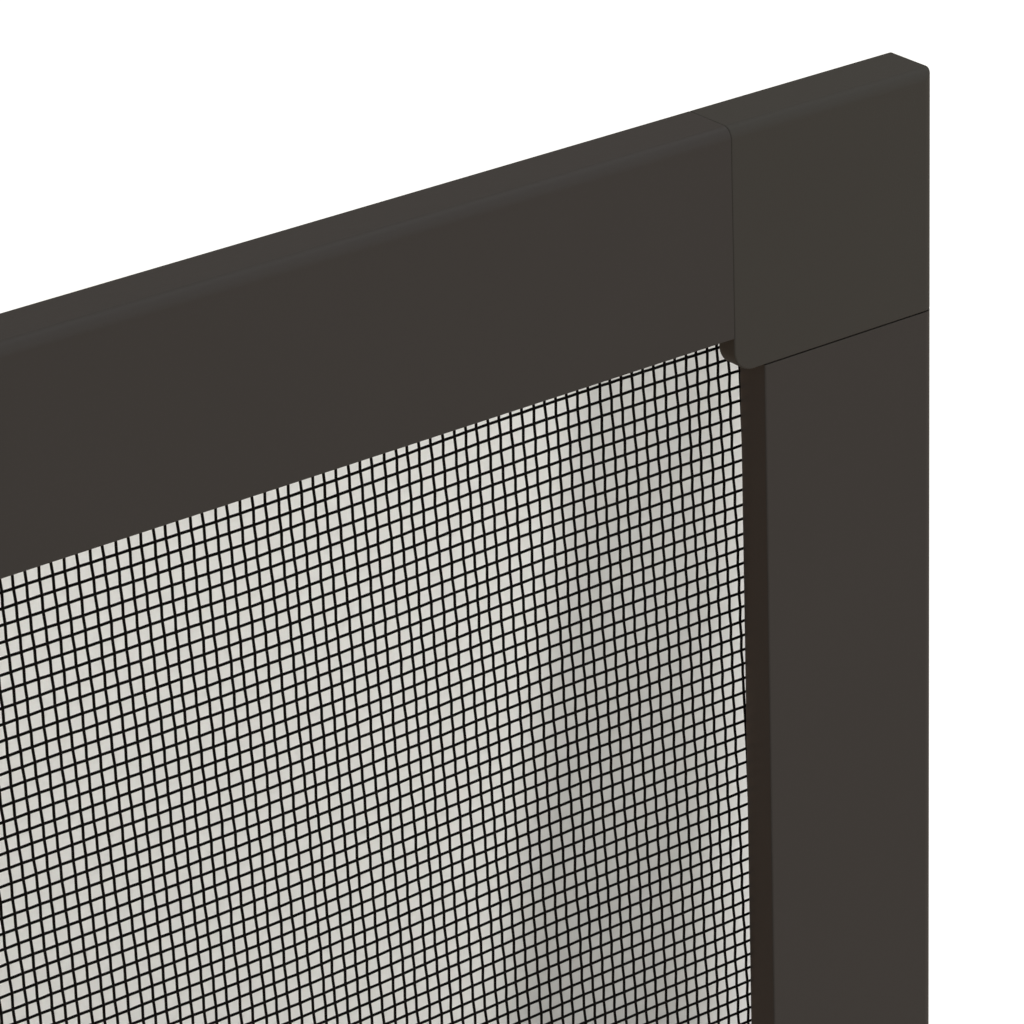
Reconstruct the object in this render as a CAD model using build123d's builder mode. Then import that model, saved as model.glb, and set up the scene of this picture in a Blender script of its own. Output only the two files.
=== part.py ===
"""Window insect screen: square-cut aluminium profiles joined by moulded corner pieces, with a woven mesh
that a vinyl spline presses into a groove round the back.

The frame stands upright. X runs across the window, Y runs from the front face to the back, Z is up, and the
origin is the middle of the bottom edge. Lengths are in millimetres.
"""

import os

from build123d import *

# Frame
frame_width = 500.0
frame_height = 600.0
frame_depth = 7.0
face_width = 22.8

# Extruded profile
wall = 1.0
outer_radius = 1.2
back_radius = 0.4
face_edge_radius = 0.2

# Groove that holds the mesh, open to the back
groove_width = 4.0
groove_floor = 1.2
lip_thickness = 1.0
lip_height = 4.25
lip_radius = 0.25
grip_radius = 0.2
grip_spacing = 0.9

# Moulded corner piece
ear_reach = 3.9
ear_thickness = 2.55
ear_radius = 2.4
corner_edge_radius = 0.3
rim_radius = 0.2
rail_seam = 0.03
stile_seam = 0.07
leg_length = 35.0
leg_clearance = 0.1
leg_tip_chamfer = 2.0
tooth_pitch = 4.0
tooth_depth = 0.6
pocket_wall = 1.6
pocket_floor = 1.4
pockets = 3

# Woven mesh: one modelled strand stands for a group of neighbouring yarns
yarn_diameter = 0.28
warp_per_inch = 18
weft_per_inch = 15
warp_yarns_per_strand = 6
weft_yarns_per_strand = 5
layer_gap = 0.04
cloth_clearance = 0.05
hem_below_back = 1.8

# Spline pressed into the groove on top of the mesh
spline_clearance = 0.02
spline_end_gap = 0.1

# Places worked out from the sizes above: insets run inwards from the outer edge, depths from the front face
inch = 25.4
select_tolerance = 0.001
front = -frame_depth / 2
corner_size = face_width + ear_reach
groove_inner = face_width - lip_thickness
groove_outer = groove_inner - groove_width
rail_length = frame_width - 2 * (corner_size + rail_seam)
stile_length = frame_height - 2 * (corner_size + stile_seam)
opening_width = frame_width - 2 * face_width
opening_height = frame_height - 2 * face_width

os.makedirs("parts", exist_ok=True)


def finish(builder, name):
    """Labels a finished piece and writes it as its own file."""
    builder.part.label = name
    export_step(builder.part, f"parts/{name}.step")


def section_plane(start, inward):
    """A plane across a profile: x runs inwards from the outer edge, y from the front face to the back."""
    return Plane(origin=start, x_dir=inward, z_dir=Vector(*inward).cross(Vector(0, 1, 0)))


# Frame profiles: one extruded section, cut square, with a box chamber and the mesh groove beside it
right, left, up, down = (1, 0, 0), (-1, 0, 0), (0, 0, 1), (0, 0, -1)
profiles = {
    "top_rail": ((-rail_length / 2, front, frame_height), down, rail_length),
    "bottom_rail": ((rail_length / 2, front, 0), up, rail_length),
    "left_stile": ((-frame_width / 2, front, frame_height / 2 - stile_length / 2), right, stile_length),
    "right_stile": ((frame_width / 2, front, frame_height / 2 + stile_length / 2), left, stile_length),
}
chamber_width = groove_outer - 2 * wall
chamber_depth = frame_depth - 2 * wall
chamber_radius = 3 * leg_clearance  # small enough for a square-edged leg to clear it
first_grip = groove_floor + grip_spacing
lip_grips = int((lip_height - lip_radius - grip_radius - groove_floor) / grip_spacing)
wall_grips = int((frame_depth - grip_radius - groove_floor) / grip_spacing)

for name, (start, inward, length) in profiles.items():
    with BuildPart() as profile:
        with BuildSketch(section_plane(start, inward)) as section:
            with BuildLine():
                Polyline(
                    (0, 0),
                    (face_width, 0),
                    (face_width, lip_height),
                    (groove_inner, lip_height),
                    (groove_inner, groove_floor),
                    (groove_outer, groove_floor),
                    (groove_outer, frame_depth),
                    (0, frame_depth),
                    close=True,
                )
            make_face()
            # Each corner is picked once the one before it is rounded, as rounding renews the section
            fillet(section.vertices().group_by(Axis.X)[0].sort_by(Axis.Y)[0], outer_radius)
            fillet(section.vertices().group_by(Axis.X)[0].sort_by(Axis.Y)[-1], back_radius)
            fillet(section.vertices().group_by(Axis.X)[-1].sort_by(Axis.Y)[0], face_edge_radius)
            lip_corners = section.vertices().filter_by_position(
                Axis.Y, lip_height - select_tolerance, lip_height + select_tolerance
            )
            fillet(lip_corners, lip_radius)
            with Locations((wall + chamber_width / 2, frame_depth / 2)):
                RectangleRounded(chamber_width, chamber_depth, chamber_radius, mode=Mode.SUBTRACT)
            # Grip lines along both groove walls
            for step in range(lip_grips):
                with Locations((groove_inner, first_grip + step * grip_spacing)):
                    Circle(grip_radius, mode=Mode.SUBTRACT)
            for step in range(wall_grips):
                with Locations((groove_outer, first_grip + step * grip_spacing)):
                    Circle(grip_radius, mode=Mode.SUBTRACT)
        extrude(amount=length)
    finish(profile, name)


# Corner pieces: a square block flush with the profiles, with two toothed legs that push into their chambers
def corner_plane(x_side, z_side):
    """The front face at an outer corner, with both axes pointing inwards along the frame."""
    along_x, along_z = (-x_side, 0, 0), (0, 0, -z_side)
    x_dir = along_z if x_side * z_side > 0 else along_x
    origin = (x_side * frame_width / 2, front, frame_height / 2 + z_side * frame_height / 2)
    return Plane(origin=origin, x_dir=x_dir, z_dir=(0, 1, 0))


corners = {
    "corner_top_right": (1, 1),
    "corner_top_left": (-1, 1),
    "corner_bottom_right": (1, -1),
    "corner_bottom_left": (-1, -1),
}
diagonal = Plane(origin=(0, 0, 0), z_dir=(1, -1, 0))
corner_edge = (Align.MIN, Align.MIN)
leg_inset = wall + leg_clearance
leg_width = chamber_width - 2 * leg_clearance
leg_depth = chamber_depth - 2 * leg_clearance
leg_side = leg_inset + leg_width
teeth = int((leg_length - leg_tip_chamfer) / tooth_pitch) - 1
pocket_pitch = (leg_length - leg_tip_chamfer - pocket_wall) / pockets
pocket_length = pocket_pitch - pocket_wall
pocket_width = leg_width - 2 * (tooth_depth + pocket_wall)
pocket_middle = corner_size + pocket_wall + pocket_length / 2 + (pockets - 1) * pocket_pitch / 2

for name, (x_side, z_side) in corners.items():
    plane = corner_plane(x_side, z_side)
    first_axis = Axis(plane.origin, plane.x_dir)
    second_axis = Axis(plane.origin, plane.y_dir)
    depth_axis = Axis(plane.origin, plane.z_dir)
    with BuildPart() as corner:
        # Block with its inner corner rounded, its outer edges like the profiles' and a soft rim at the seams
        with BuildSketch(plane) as block:
            Rectangle(corner_size, corner_size, align=corner_edge)
            fillet(block.vertices().sort_by_distance((0, 0))[-1], ear_radius)
            fillet(block.vertices().sort_by_distance((0, 0))[0], corner_edge_radius)
        extrude(amount=frame_depth)
        on_first_face = corner.edges().filter_by_position(first_axis, -select_tolerance, select_tolerance)
        on_second_face = corner.edges().filter_by_position(second_axis, -select_tolerance, select_tolerance)
        outer_edges = on_first_face.filter_by(second_axis) + on_second_face.filter_by(first_axis)
        fillet(outer_edges.group_by(depth_axis)[0], outer_radius)
        fillet(outer_edges.group_by(depth_axis)[-1], back_radius)
        fillet(corner.edges().group_by(depth_axis)[0].sort_by_distance(plane.origin)[-3:], rim_radius)
        # Groove that carries on round the corner
        with BuildSketch(plane.offset(groove_floor)):
            with Locations((groove_outer, groove_outer)):
                Rectangle(groove_width, corner_size, align=corner_edge)
                Rectangle(corner_size, groove_width, align=corner_edge)
        extrude(amount=frame_depth, mode=Mode.SUBTRACT)
        # Lip cut down to the profiles' lips, and the ear cut thinner still
        with BuildSketch(plane.offset(lip_height)):
            with Locations((groove_inner, groove_inner)):
                Rectangle(corner_size, corner_size, align=corner_edge)
        extrude(amount=frame_depth, mode=Mode.SUBTRACT)
        with BuildSketch(plane.offset(ear_thickness)):
            with Locations((face_width, face_width)):
                Rectangle(corner_size, corner_size, align=corner_edge)
        extrude(amount=frame_depth, mode=Mode.SUBTRACT)
        # Legs with saw teeth along both sides
        with BuildSketch(plane.offset(leg_inset)):
            with Locations((corner_size, leg_inset)):
                leg = Rectangle(leg_length, leg_width, align=corner_edge)
            chamfer(leg.vertices().group_by(Axis.X)[-1], leg_tip_chamfer)
            for step in range(teeth):
                tooth_start = corner_size + (step + 1) * tooth_pitch
                tooth_end = tooth_start + tooth_pitch
                Polygon(
                    (tooth_start, leg_inset),
                    (tooth_end, leg_inset),
                    (tooth_end, leg_inset + tooth_depth),
                    align=None,
                    mode=Mode.SUBTRACT,
                )
                Polygon(
                    (tooth_start, leg_side),
                    (tooth_end, leg_side - tooth_depth),
                    (tooth_end, leg_side),
                    align=None,
                    mode=Mode.SUBTRACT,
                )
            mirror(about=diagonal)
        extrude(amount=leg_depth)
        # Pockets moulded into the back of each leg
        with BuildSketch(plane.offset(leg_inset + pocket_floor)):
            with Locations((pocket_middle, leg_inset + leg_width / 2)):
                with GridLocations(pocket_pitch, 0, pockets, 1):
                    Rectangle(pocket_length, pocket_width)
            mirror(about=diagonal)
        extrude(amount=leg_depth, mode=Mode.SUBTRACT)
    finish(corner, name)

# Mesh: upright strands in front and level strands behind, with the hem tucked down into the groove
middle_plane = Plane(origin=(0, front, frame_height / 2), x_dir=(1, 0, 0), z_dir=(0, 1, 0))
warp_strand = warp_yarns_per_strand * yarn_diameter
weft_strand = weft_yarns_per_strand * yarn_diameter
columns = round(opening_width * warp_per_inch / (inch * warp_yarns_per_strand))
rows = round(opening_height * weft_per_inch / (inch * weft_yarns_per_strand))
column_pitch = opening_width / columns
row_pitch = opening_height / rows
hem_outer = groove_outer + cloth_clearance
hem_inner = groove_inner - cloth_clearance
hem_floor = groove_floor + cloth_clearance
hem_top = frame_depth - hem_below_back
warp_depth = lip_height + cloth_clearance
weft_depth = warp_depth + yarn_diameter + layer_gap
cloth_back = weft_depth + yarn_diameter


def ring(outer_inset, inner_inset, depth):
    """A rectangular ring that follows the frame between two insets, at a depth behind the front face."""
    with BuildSketch(middle_plane.offset(depth)) as outline:
        Rectangle(frame_width - 2 * outer_inset, frame_height - 2 * outer_inset)
        Rectangle(frame_width - 2 * inner_inset, frame_height - 2 * inner_inset, mode=Mode.SUBTRACT)
    return outline.sketch


with BuildPart() as insect_mesh:
    # Tucked hem: along the groove's floor, up its outer wall and up beside the lip
    extrude(ring(hem_outer, hem_inner, hem_floor), amount=yarn_diameter)
    extrude(ring(hem_outer, hem_outer + yarn_diameter, hem_floor), amount=hem_top - hem_floor)
    extrude(ring(hem_inner - yarn_diameter, hem_inner, hem_floor), amount=cloth_back - hem_floor)
    extrude(ring(hem_inner - yarn_diameter, face_width, warp_depth), amount=cloth_back - warp_depth)
    # Upright strands
    with BuildSketch(middle_plane.offset(warp_depth)):
        Rectangle(opening_width, opening_height)
        with GridLocations(column_pitch, 0, columns, 1):
            Rectangle(column_pitch - warp_strand, opening_height, mode=Mode.SUBTRACT)
    extrude(amount=yarn_diameter)
    # Level strands
    with BuildSketch(middle_plane.offset(weft_depth)):
        Rectangle(opening_width, opening_height)
        with GridLocations(0, row_pitch, 1, rows):
            Rectangle(opening_width, row_pitch - weft_strand, mode=Mode.SUBTRACT)
    extrude(amount=yarn_diameter)
finish(insect_mesh, "insect_mesh")

# Spline: a round vinyl cord in four lengths, the upright ones ending against the level ones
spline_radius = (hem_inner - hem_outer) / 2 - yarn_diameter - spline_clearance
spline_inset = (hem_outer + hem_inner) / 2
spline_depth = hem_floor + yarn_diameter + spline_clearance + spline_radius
level_length = frame_width - 2 * (hem_outer + yarn_diameter + spline_clearance)
upright_length = frame_height - 2 * (spline_inset + spline_radius + spline_end_gap)
splines = {
    "spline_top": ((-level_length / 2, front, frame_height), down, level_length),
    "spline_bottom": ((level_length / 2, front, 0), up, level_length),
    "spline_left": ((-frame_width / 2, front, frame_height / 2 - upright_length / 2), right, upright_length),
    "spline_right": ((frame_width / 2, front, frame_height / 2 + upright_length / 2), left, upright_length),
}

for name, (start, inward, length) in splines.items():
    with BuildPart() as spline:
        with BuildSketch(section_plane(start, inward)):
            with Locations((spline_inset, spline_depth)):
                Circle(spline_radius)
        extrude(amount=length)
    finish(spline, name)
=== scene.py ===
import math

import bpy
import numpy as np
from mathutils import Matrix, Vector


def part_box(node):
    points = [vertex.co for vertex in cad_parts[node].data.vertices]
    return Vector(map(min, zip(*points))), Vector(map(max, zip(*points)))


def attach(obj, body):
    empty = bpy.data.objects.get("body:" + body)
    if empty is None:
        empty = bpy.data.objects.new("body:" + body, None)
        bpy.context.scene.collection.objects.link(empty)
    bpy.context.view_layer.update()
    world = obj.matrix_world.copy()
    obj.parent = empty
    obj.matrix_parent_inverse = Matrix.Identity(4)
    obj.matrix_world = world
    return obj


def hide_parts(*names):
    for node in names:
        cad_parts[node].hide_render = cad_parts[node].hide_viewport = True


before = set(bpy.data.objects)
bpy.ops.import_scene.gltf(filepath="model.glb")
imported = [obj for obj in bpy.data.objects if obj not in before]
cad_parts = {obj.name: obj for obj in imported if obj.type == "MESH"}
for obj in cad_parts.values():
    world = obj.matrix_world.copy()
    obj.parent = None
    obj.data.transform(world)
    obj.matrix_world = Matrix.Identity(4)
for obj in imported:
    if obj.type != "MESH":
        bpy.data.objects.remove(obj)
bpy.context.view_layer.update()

# Rails and stiles: lengths of extruded aluminium, cut square and powder-coated in a satin grey-brown. The
# coat is baked on, so it has a faint orange peel, a finer grain and a barely uneven tone, and no brush marks.
class Socket:
    """A shader output that takes part in sums, so that a material reads as arithmetic."""

    def __init__(self, tree, output=None):
        self.tree = tree
        self.output = output

    def make(self, kind, inputs=(), output=0, **settings):
        """Adds a node with these settings, feeds its inputs by name or number and wraps one output."""
        node = self.tree.nodes.new(kind)
        for name, value in settings.items():
            setattr(node, name, value)
        for key, value in dict(inputs).items():
            if isinstance(value, Socket):
                self.tree.links.new(value.output, node.inputs[key])
            else:
                node.inputs[key].default_value = value
        return Socket(self.tree, node.outputs[output])

    def work_out(self, operation, first, second):
        return self.make("ShaderNodeMath", {0: first, 1: second}, operation=operation)

    def __add__(self, other):
        return self.work_out("ADD", self, other)

    def __sub__(self, other):
        return self.work_out("SUBTRACT", self, other)

    def __rsub__(self, other):
        return self.work_out("SUBTRACT", other, self)

    def __mul__(self, other):
        return self.work_out("MULTIPLY", self, other)

    __radd__ = __add__
    __rmul__ = __mul__


def finish(name, constants):
    """A material with these constant values on its shader, the shader, and where its points lie in metres."""
    made = bpy.data.materials.new(name)
    made.use_nodes = True
    shader = made.node_tree.nodes["Principled BSDF"]
    for key, value in constants.items():
        shader.inputs[key].default_value = value
    return made, shader, Socket(made.node_tree).make("ShaderNodeTexCoord", output="Object")


def feed(shader, inputs):
    """Links each wrapped socket to the shader's input of that name."""
    for key, socket in inputs.items():
        socket.tree.links.new(socket.output, shader.inputs[key])


def noise(place, per_metre, detail=2.0):
    """Soft noise from 0 to 1 with that many features to the metre."""
    return place.make("ShaderNodeTexNoise", {"Vector": place, "Scale": per_metre, "Detail": detail})


def tone(amount, first, second):
    """The colour that lies this share of the way from the first to the second."""
    return amount.make("ShaderNodeMix", {"Factor": amount, 6: first, 7: second}, output=2, data_type="RGBA")


def relief(height, strength, distance):
    """A surface direction that follows the fine height of a finish, which is that many metres deep."""
    return height.make("ShaderNodeBump", {"Height": height, "Strength": strength, "Distance": distance})


def dress(names, material):
    """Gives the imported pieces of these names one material."""
    for name in names:
        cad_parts[name].data.materials.clear()
        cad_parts[name].data.materials.append(material)


coat_dark = (0.0398, 0.0362, 0.0330, 1.0)
coat_light = (0.0482, 0.0441, 0.0404, 1.0)
coat, shader, place = finish("powder_coat", {"Specular IOR Level": 0.2})
peel = noise(place, 620.0)
grain = noise(place, 3400.0, 1.0)
cloud = noise(place, 38.0, 3.0)
feed(shader, {
    "Base Color": tone(cloud * 0.7 + grain * 0.3, coat_dark, coat_light),
    "Roughness": 0.44 + 0.12 * cloud,
    "Normal": relief(peel * 0.7 + grain * 0.3, 0.6, 0.00003),
})
profiles = ["top_rail", "bottom_rail", "left_stile", "right_stile"]
dress(profiles, coat)

# Corners: each is moulded in one shot of glass-filled plastic dyed to the coat's colour, and its two toothed
# legs are pushed into the profiles. Its skin carries the tool's fine spark texture, flatter than the coat.
plastic_dark = (0.0420, 0.0398, 0.0343, 1.0)
plastic_light = (0.0504, 0.0478, 0.0415, 1.0)
plastic, shader, place = finish("corner_plastic", {"Specular IOR Level": 0.2})
spark = noise(place, 5200.0)
flow = noise(place, 55.0)
feed(shader, {
    "Base Color": tone(flow * 0.6 + spark * 0.4, plastic_dark, plastic_light),
    "Roughness": 0.50 + 0.10 * flow,
    "Normal": relief(spark, 0.5, 0.00002),
})
dress(["corner_top_right", "corner_top_left", "corner_bottom_right", "corner_bottom_left"], plastic)

# Mesh: glass yarn coated in black vinyl and woven plain, 18 yarns to the inch across and 15 up. It lies over
# the lips at the back, turns down into the groove and is trimmed inside it. The coating fuses the yarns where
# they cross. The cloth went in a little bowed and was pulled tight at the upper right corner.
warp_pitch = 0.0254 / 18
weft_pitch = 0.0254 / 15
thickness = {"warp": 0.000325, "weft": 0.00032}
yarn_sides = 5
wander = {"warp": 0.00004, "weft": 0.00002}
wander_lengths = (0.009, 0.028)
random = np.random.default_rng(18)

# The opening lies between the lips, and the flat cloth is measured across and up from its middle.
low = np.array([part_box("left_stile")[1].x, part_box("bottom_rail")[1].z])
high = np.array([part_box("right_stile")[0].x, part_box("top_rail")[0].z])
middle = (low + high) / 2
half = (high - low) / 2
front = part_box("top_rail")[0].y

# The hem's bends, each as the way outward from a lip's edge and the depth behind the front face.
cloth_depth = 0.00451
hem_inner = 0.001175
hem_outer = 0.004825
hem_floor = 0.001375
hem_end = 0.005
bend_radius = 0.00045
bends = np.array([
    (0.0, cloth_depth),
    (hem_inner, cloth_depth),
    (hem_inner, hem_floor),
    (hem_outer, hem_floor),
    (hem_outer, hem_end),
])
hem = [bends[0]]
for before, bend, after in zip(bends, bends[1:], bends[2:]):
    for neighbour in (before, after):
        hem.append(bend + bend_radius * (neighbour - bend) / np.linalg.norm(neighbour - bend))
hem = np.array(hem + [bends[-1]])
hem_along = np.concatenate([[0.0], np.cumsum(np.linalg.norm(np.diff(hem, axis=0), axis=1))])
cut = half + hem_along[-1]

# The upright yarns bow to the right, by nothing just under the top rail and most at half height. The pull
# crowds them towards the left beside the right stile, and lifts the level yarns there.
bow = 0.006
bow_start = 0.008
crowd = 0.0008
crowd_reach = 0.025
tug = 0.001
tug_start = 0.065
tug_build = 0.045

# Yarns are counted from the frame's upper right corner, over a little more than the opening, and their places
# are shifted by these shares of a pitch. In a patch by that corner a yarn rises and falls by its crimp.
# Beyond it the patch fades into plain yarns, the two kinds pressed together.
corner = np.array([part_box("corner_top_right")[1].x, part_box("corner_top_right")[1].z]) - middle
column_shift = 0.53
row_shift = 0.36
patch = half - np.array([0.100, 0.090])
patch_fade = 0.006
crimp = {"warp": 0.000075, "weft": 0.00002}
pressed = 0.00003
counted = 2.2 * half
straight_step = 0.06
bowed_step = 0.012


def lean(v):
    """How far the upright yarns are pushed to the right at that height of the flat cloth."""
    return bow * (np.sin(np.pi * (half[1] - v) / (2 * half[1])) - np.sin(np.pi * bow_start))


def fold(distance):
    """How far outward of a lip's edge, and how deep, the cloth is at that distance past the edge."""
    outward = np.where(distance < 0, distance, np.interp(distance, hem_along, hem[:, 0]))
    return outward, np.interp(distance, hem_along, hem[:, 1])


def longest(points, kept):
    """The longest stretch of points that is kept."""
    ends = np.flatnonzero(np.diff(np.concatenate([[0], kept.astype(int), [0]])))
    if not len(ends):
        return points[:0]
    first, last = max(ends.reshape(-1, 2), key=lambda pair: pair[1] - pair[0])
    return points[first:last]


def hang(u, v, woven_rise, plain_rise):
    """The path of a yarn of the hung cloth, from its place in the flat one; a rise is towards the front."""
    u = u - crowd * np.exp(np.minimum(u - half[0], 0) / crowd_reach)
    pulled = np.clip((u - half[0] + tug_start) / tug_build, 0, 1)
    v = v + tug * pulled**2 * (3 - 2 * pulled)
    out_u, depth_u = fold(np.abs(u) - half[0])
    out_v, depth_v = fold(np.abs(v) - half[1])
    woven = np.clip(np.minimum(u - patch[0], v - patch[1]) / patch_fade, 0, 1)
    flat = (np.abs(u) < half[0]) & (np.abs(v) < half[1])
    rise = np.where(flat, woven * woven_rise + (1 - woven) * plain_rise, 0)
    x = middle[0] + np.sign(u) * (half[0] + out_u)
    y = front + depth_u + depth_v - cloth_depth - rise
    z = middle[1] + np.sign(v) * (half[1] + out_v)
    in_a_notch = (np.abs(u) > half[0]) & (np.abs(v) > half[1])
    kept = (np.abs(u) <= cut[0]) & (np.abs(v) <= cut[1]) & ~in_a_notch
    return longest(np.stack([x, y, z], axis=1), kept)


def stops(half_length, crossings, step):
    """Where a yarn has points: round both hems, at and between the crossings, and a step apart elsewhere."""
    rough = np.arange(-half_length, half_length, step)
    fine = np.sort(np.concatenate([crossings, (crossings[1:] + crossings[:-1]) / 2]))
    rough = rough[rough < fine.min() - step / 3] if len(fine) else rough
    turn = half_length + hem_along
    return np.concatenate([-turn[::-1], rough[1:], fine, turn])


def over_under(at, crossings, numbers, pitch):
    """How a yarn is pushed at its points: 1 and -1 by turns where it meets the numbered yarns it crosses."""
    gap = np.abs(at[:, None] - crossings[None]) / pitch
    return np.where(numbers[gap.argmin(axis=1)] % 2, 1, -1) * np.cos(np.pi * gap.min(axis=1))


def waver(at, size):
    """A slow sideways wander of one yarn."""
    length = random.uniform(*wander_lengths)
    return random.normal(0, size) + size * np.sin(2 * np.pi * (at / length + random.uniform()))


def round_yarn(path, across, width):
    """Rings of points round a yarn's path; across is a direction that the path never takes."""
    angle = np.arange(yarn_sides)[:, None] * 2 * np.pi / yarn_sides
    along = np.gradient(path, axis=0)
    along /= np.linalg.norm(along, axis=1)[:, None]
    side = across - (along @ across)[:, None] * along
    side /= np.linalg.norm(side, axis=1)[:, None]
    other = np.cross(along, side)
    return path[:, None] + width / 2 * (np.cos(angle) * side[:, None] + np.sin(angle) * other[:, None])


def skin(name, tubes, material):
    """A smooth piece with one closed skin round each tube, which is a row of rings of points."""
    faces = []
    count = 0
    for tube in tubes:
        index = count + np.arange(tube.shape[0] * tube.shape[1]).reshape(tube.shape[:2])
        following = np.roll(index, -1, axis=1)
        quads = np.stack([index[:-1], following[:-1], following[1:], index[1:]], axis=-1)
        faces += quads.reshape(-1, 4).tolist()
        faces += [index[0][::-1].tolist(), index[-1].tolist()]
        count += index.size
    made = bpy.data.meshes.new(name)
    made.from_pydata(np.concatenate([tube.reshape(-1, 3) for tube in tubes]), [], faces)
    made.shade_smooth()
    made.materials.append(material)
    piece = bpy.data.objects.new(name, made)
    bpy.context.scene.collection.objects.link(piece)
    return piece


yarn_dark = (0.0010, 0.0009, 0.0008, 1.0)
yarn_light = (0.0035, 0.0031, 0.0028, 1.0)
vinyl, shader, place = finish("yarn_vinyl", {"Specular IOR Level": 0.06})
blotch = noise(place, 900.0)
feed(shader, {
    "Base Color": tone(blotch, yarn_dark, yarn_light),
    "Roughness": 0.38 + 0.2 * blotch,
    "Normal": relief(blotch, 0.4, 0.00004),
})
rows = np.arange(-math.ceil(counted[1] / weft_pitch), 0)
rows = rows[np.abs(corner[1] + (rows + row_shift) * weft_pitch) < cut[1]]
row_at = corner[1] + (rows + row_shift) * weft_pitch
columns = np.arange(-math.ceil(counted[0] / warp_pitch), 0)
column_at = corner[0] + (columns + column_shift) * warp_pitch
shown_rows = row_at[(row_at > patch[1] - patch_fade) & (row_at < half[1])]
warp_paths = []
for column, u in zip(columns, column_at):
    in_patch = patch[0] - patch_fade < u < half[0]
    at_edge = abs(abs(u) - half[0]) < 2 * bow
    v = stops(half[1], shown_rows if in_patch else row_at[:0], bowed_step if at_edge else straight_step)
    over = over_under(v, row_at, column + rows, weft_pitch)
    path = hang(u + lean(v) + waver(v, wander["warp"]), v, crimp["warp"] * over, pressed)
    if len(path) > 2:
        warp_paths.append(path)
weft_paths = []
for row, v in zip(rows, row_at):
    in_patch = patch[1] - patch_fade < v < half[1]
    crossing = column_at + lean(v)
    shown = (crossing > patch[0] - patch_fade) & (crossing < half[0]) & in_patch
    u = stops(half[0], crossing[shown], straight_step)
    over = over_under(u, crossing, row + columns, warp_pitch)
    path = hang(u, v + waver(u, wander["weft"]), -crimp["weft"] * over, -pressed)
    if len(path) > 2:
        weft_paths.append(path)
rightward = np.array([1.0, 0.0, 0.0])
upward = np.array([0.0, 0.0, 1.0])
warp = skin("mesh_warp", [round_yarn(path, rightward, thickness["warp"]) for path in warp_paths], vinyl)
weft = skin("mesh_weft", [round_yarn(path, upward, thickness["weft"]) for path in weft_paths], vinyl)
for piece in (warp, weft):
    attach(piece, "root")
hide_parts("insect_mesh")

# Splines: four lengths of ribbed black vinyl cord, rolled into the groove from the back on top of the mesh.
# The roller leaves the cord a little uneven, and its ribs run lengthwise.
cord_dark = (0.010, 0.010, 0.010, 1.0)
cord_light = (0.022, 0.021, 0.020, 1.0)
rubber, shader, place = finish("spline_vinyl", {"Specular IOR Level": 0.4})
scuff = noise(place, 700.0, 3.0)
feed(shader, {
    "Base Color": tone(scuff, cord_dark, cord_light),
    "Roughness": 0.45 + 0.2 * scuff,
    "Normal": relief(scuff, 0.5, 0.00006),
})
ribs = 14
points_to_a_rib = 4
rib_share = 0.035
roller_share = 0.02
roller_beat = 230.0
roller_drift = 61.0
roller_swing = 3.0
ring_step = 0.004
angle = np.arange(ribs * points_to_a_rib)[:, None] * 2 * np.pi / (ribs * points_to_a_rib)
backward = np.array([0.0, 1.0, 0.0])
for name in ("spline_top", "spline_bottom", "spline_left", "spline_right"):
    lower, upper = (np.array(end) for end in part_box(name))
    axis = int(np.argmax(upper - lower))
    radius = (upper[1] - lower[1]) / 2
    at = np.arange(lower[axis], upper[axis], ring_step)
    at = np.append(at[:-1], upper[axis])[:, None, None]
    direction = np.eye(3)[axis]
    path = (lower + upper) / 2 * (1 - direction) + at * direction
    side = np.cross(backward, direction)
    rolled = roller_share * (np.sin(roller_beat * at + roller_swing * np.sin(roller_drift * at)) - 1)
    size = radius * (1 + rib_share * (np.cos(ribs * angle) - 1) + rolled)
    tube = path + size * (np.cos(angle) * side + np.sin(angle) * backward)
    cord = skin("cord_" + name, [tube], rubber)
    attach(cord, "root")
    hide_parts(name)

# Studio: a white floor under the frame's bottom edge with its own lamp, so that it keeps the frame's
# shadow. Within the mesh's shadow, painted shade in its colour makes it darker and creamier still, most in a
# painted shadow band beside the right stile and more towards the frame's foot. To rays other than the
# camera's its colour is a painted bounce, grey, and brown behind the frame on the left, so that it throws
# back brown light there, which the stile's inner edge shows.
floor_reach = 20.0
open_white = (0.9, 0.89, 0.862, 1.0)
# The creamy white and the black are painted shade for the floor inside the mesh's shadow; the grey and the
# brown are its painted bounce.
painted_shade_white = (0.893, 0.872, 0.815, 1.0)
painted_shade_black = (0.0, 0.0, 0.0, 1.0)
painted_bounce_grey = (0.505, 0.437, 0.38, 1.0)
painted_bounce_brown = (0.53, 0.33, 0.20, 1.0)
floor_lamp_turn = -39.6
slant = math.radians(-floor_lamp_turn)
stile_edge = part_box("right_stile")[0].x


def soft_step(value, start, end):
    """Rises softly from 0 at the start to 1 at the end."""
    inputs = {"Value": value, "From Min": start, "From Max": end}
    return value.make("ShaderNodeMapRange", inputs, interpolation_type="SMOOTHSTEP")


white, shader, place = finish("floor_white", {"Roughness": 0.9, "Specular IOR Level": 0.1})
in_view = place.make("ShaderNodeLightPath", output="Is Camera Ray")
in_view = in_view + place.make("ShaderNodeLightPath", output="Is Transmission Ray")
east, north = (place.make("ShaderNodeSeparateXYZ", {0: place}, output=axis) for axis in "XY")
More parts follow.
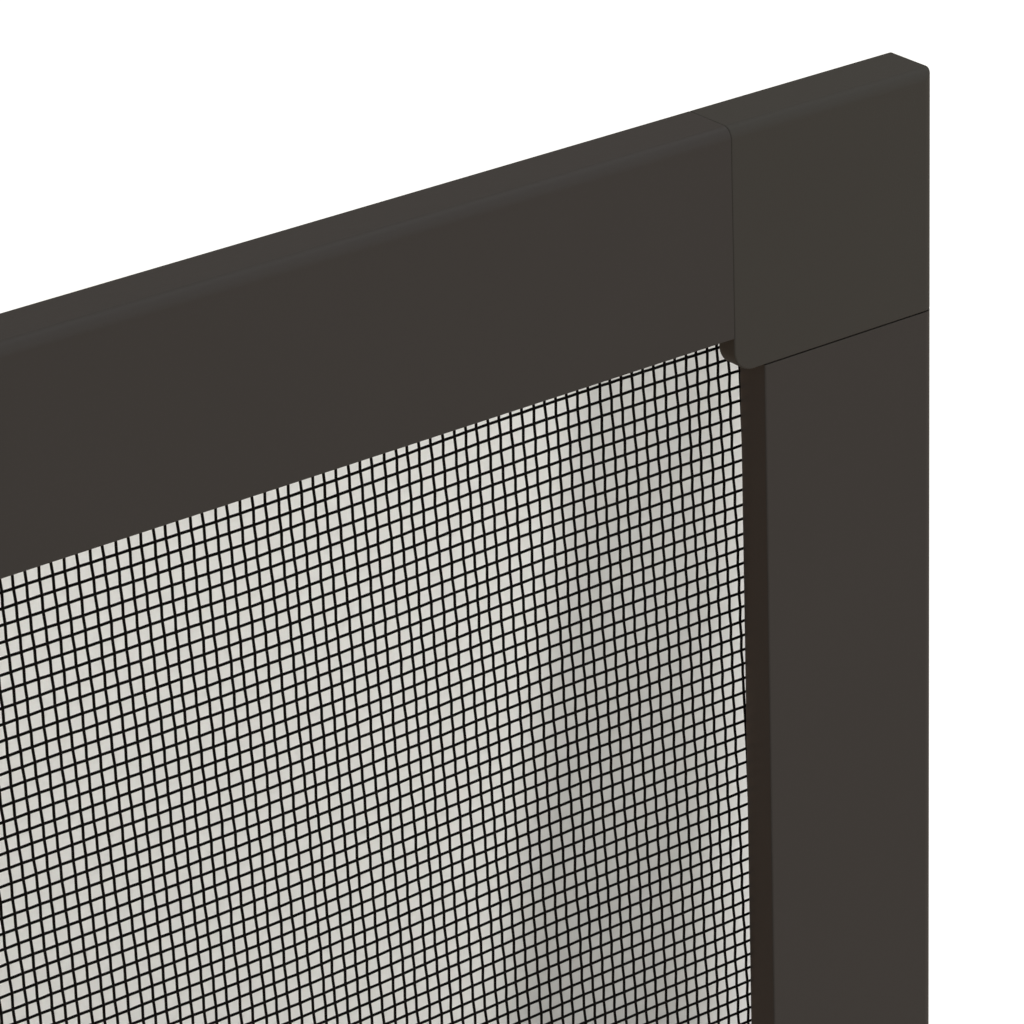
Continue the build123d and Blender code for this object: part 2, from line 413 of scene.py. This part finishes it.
# From the foot of the stile's edge, beside is how far across its shadow a place lies, and away how far along.
beside = (stile_edge - east) * math.cos(slant) + north * math.sin(slant)
away = (east - stile_edge) * math.sin(slant) + north * math.cos(slant)
# The zone that the floor lamp's shadow covers behind the mesh, where the painted shade is laid.
shadow = soft_step(beside, 0.0, 0.04) * soft_step(beside, 0.35, 0.31)
shadow = shadow * soft_step(away, 1.47, 1.40) * soft_step(north, 0.0, 0.1)
# A painted shadow band beside the stile's shadow; it fades out close to the frame's foot.
painted_shadow_band = soft_step(beside, 0.108, 0.083) * soft_step(beside, 0.01, 0.05) * soft_step(away, 0.3, 0.7)
# How deep the painted shade is: the band's, deeper nearer the frame, and a broad painted shade that grows
# towards the frame's foot.
painted_shade_depth = shadow * ((0.54 - 0.23 * away) * painted_shadow_band + 0.25 * soft_step(away, 1.2, 0.4))
# The floor's colour to the camera: white in the open, painted creamy shade in the mesh's shadow, darkened
# towards black by the painted shade.
seen_tone = tone(painted_shade_depth, tone(shadow, open_white, painted_shade_white), painted_shade_black)
# Painted bounce: to rays other than the camera's the floor's colour is grey, and brown behind the frame on
# the left, so the brown light on the stile's inner edge is painted into it.
painted_bounce_area = soft_step(east, 0.2, -0.1) * soft_step(north, 0.0, 0.3)
painted_bounce_tone = tone(painted_bounce_area, painted_bounce_grey, painted_bounce_brown)
feed(shader, {"Base Color": tone(in_view, painted_bounce_tone, seen_tone)})
ground = bpy.data.meshes.new("floor")
floor_corners = [(floor_reach * x, floor_reach * y, 0.0) for x, y in ((-1, -1), (1, -1), (1, 1), (-1, 1))]
ground.from_pydata(floor_corners, [], [(0, 1, 2, 3)])
ground.materials.append(white)
floor = bpy.data.objects.new("floor", ground)
bpy.context.scene.collection.objects.link(floor)
on_floor = bpy.data.collections.new("on_floor")
on_floor.objects.link(floor)
off_floor = bpy.data.collections.new("off_floor")
off_floor.objects.link(floor)
off_floor.collection_objects[0].light_linking.link_state = "EXCLUDE"


def aim(turn, tilt):
    """A direction from the screen, turned from its front to the right and tilted up, in degrees."""
    turn, tilt = math.radians(turn), math.radians(tilt)
    return Vector((math.sin(turn) * math.cos(tilt), -math.cos(turn) * math.cos(tilt), math.sin(tilt)))


lit_point = Vector((0.0, 0.0, 0.4))


def lamp(name, kind, towards, distance, energy, size, receivers):
    """A lamp that way from the lit point, for what the collection names; a sun's size is in degrees."""
    made = bpy.data.lights.new(name, kind)
    made.energy = energy
    if kind == "SUN":
        made.angle = math.radians(size)
    else:
        made.shape = "DISK"
        made.size = size
    holder = bpy.data.objects.new(name, made)
    bpy.context.scene.collection.objects.link(holder)
    holder.location = lit_point + distance * towards
    holder.rotation_euler = towards.to_track_quat("Z", "Y").to_euler()
    holder.light_linking.receiver_collection = receivers
    return holder


lamp("floor_lamp", "SUN", aim(floor_lamp_turn, 21.2), distance=3.0, energy=10.3, size=1.5, receivers=on_floor)
lamp("soft_box", "AREA", aim(25.0, 50.0), distance=2.0, energy=98.0, size=7.0, receivers=off_floor)
lamp("top_box", "AREA", aim(110.0, 56.0), distance=2.0, energy=1.8, size=1.1, receivers=off_floor)
behind = lamp("back_box", "AREA", aim(180.0, 15.0), distance=2.5, energy=50.0, size=3.0, receivers=off_floor)
behind.visible_glossy = False

# The world is white to the camera, and dimmer and warmer to rays that mirror in the coat.
sky_white = (1.0, 1.0, 1.0, 1.0)
sky_warm = (1.0, 0.85, 0.74, 1.0)
world = bpy.data.worlds.new("studio")
world.use_nodes = True
rays = ("Is Camera Ray", "Is Transmission Ray", "Is Glossy Ray")
seen, through, mirrored = (Socket(world.node_tree).make("ShaderNodeLightPath", output=ray) for ray in rays)
feed(world.node_tree.nodes["Background"], {
    "Color": tone(mirrored, sky_white, sky_warm),
    "Strength": 0.06 + 0.94 * (seen + through) + 0.23 * mirrored,
})
bpy.context.scene.world = world

# Camera: a long lens near the upper right corner, from the front left and above, a little rolled. It is
# placed by where that corner lies in the picture and how far from the lens it is.
view_turn = -35.275
view_tilt = 24.886
roll = math.radians(-2.246)
picture_size = 1024
sensor_width = 36.0
pixels_per_radian = 4771.9
corner_pixel = (934.757, 67.884)
corner_distance = 0.489189
back = aim(view_turn, view_tilt)
level = Vector((math.cos(math.radians(view_turn)), math.sin(math.radians(view_turn)), 0.0))
upright = back.cross(level)
right = math.cos(roll) * level + math.sin(roll) * upright
up = math.cos(roll) * upright - math.sin(roll) * level
seen_right = (corner_pixel[0] - picture_size / 2) / pixels_per_radian * corner_distance
seen_up = (picture_size / 2 - corner_pixel[1]) / pixels_per_radian * corner_distance
outer_corner = Vector((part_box("corner_top_right")[1].x, front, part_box("corner_top_right")[1].z))
camera = bpy.data.objects.new("camera", bpy.data.cameras.new("camera"))
camera.data.sensor_width = sensor_width
camera.data.lens = pixels_per_radian * sensor_width / picture_size
camera.data.clip_start = 0.01
camera.matrix_world = Matrix((right, up, back)).transposed().to_4x4()
camera.location = outer_corner - seen_right * right - seen_up * up + corner_distance * back
bpy.context.scene.collection.objects.link(camera)
bpy.context.scene.camera = camera
bpy.context.scene.view_settings.view_transform = "Standard"
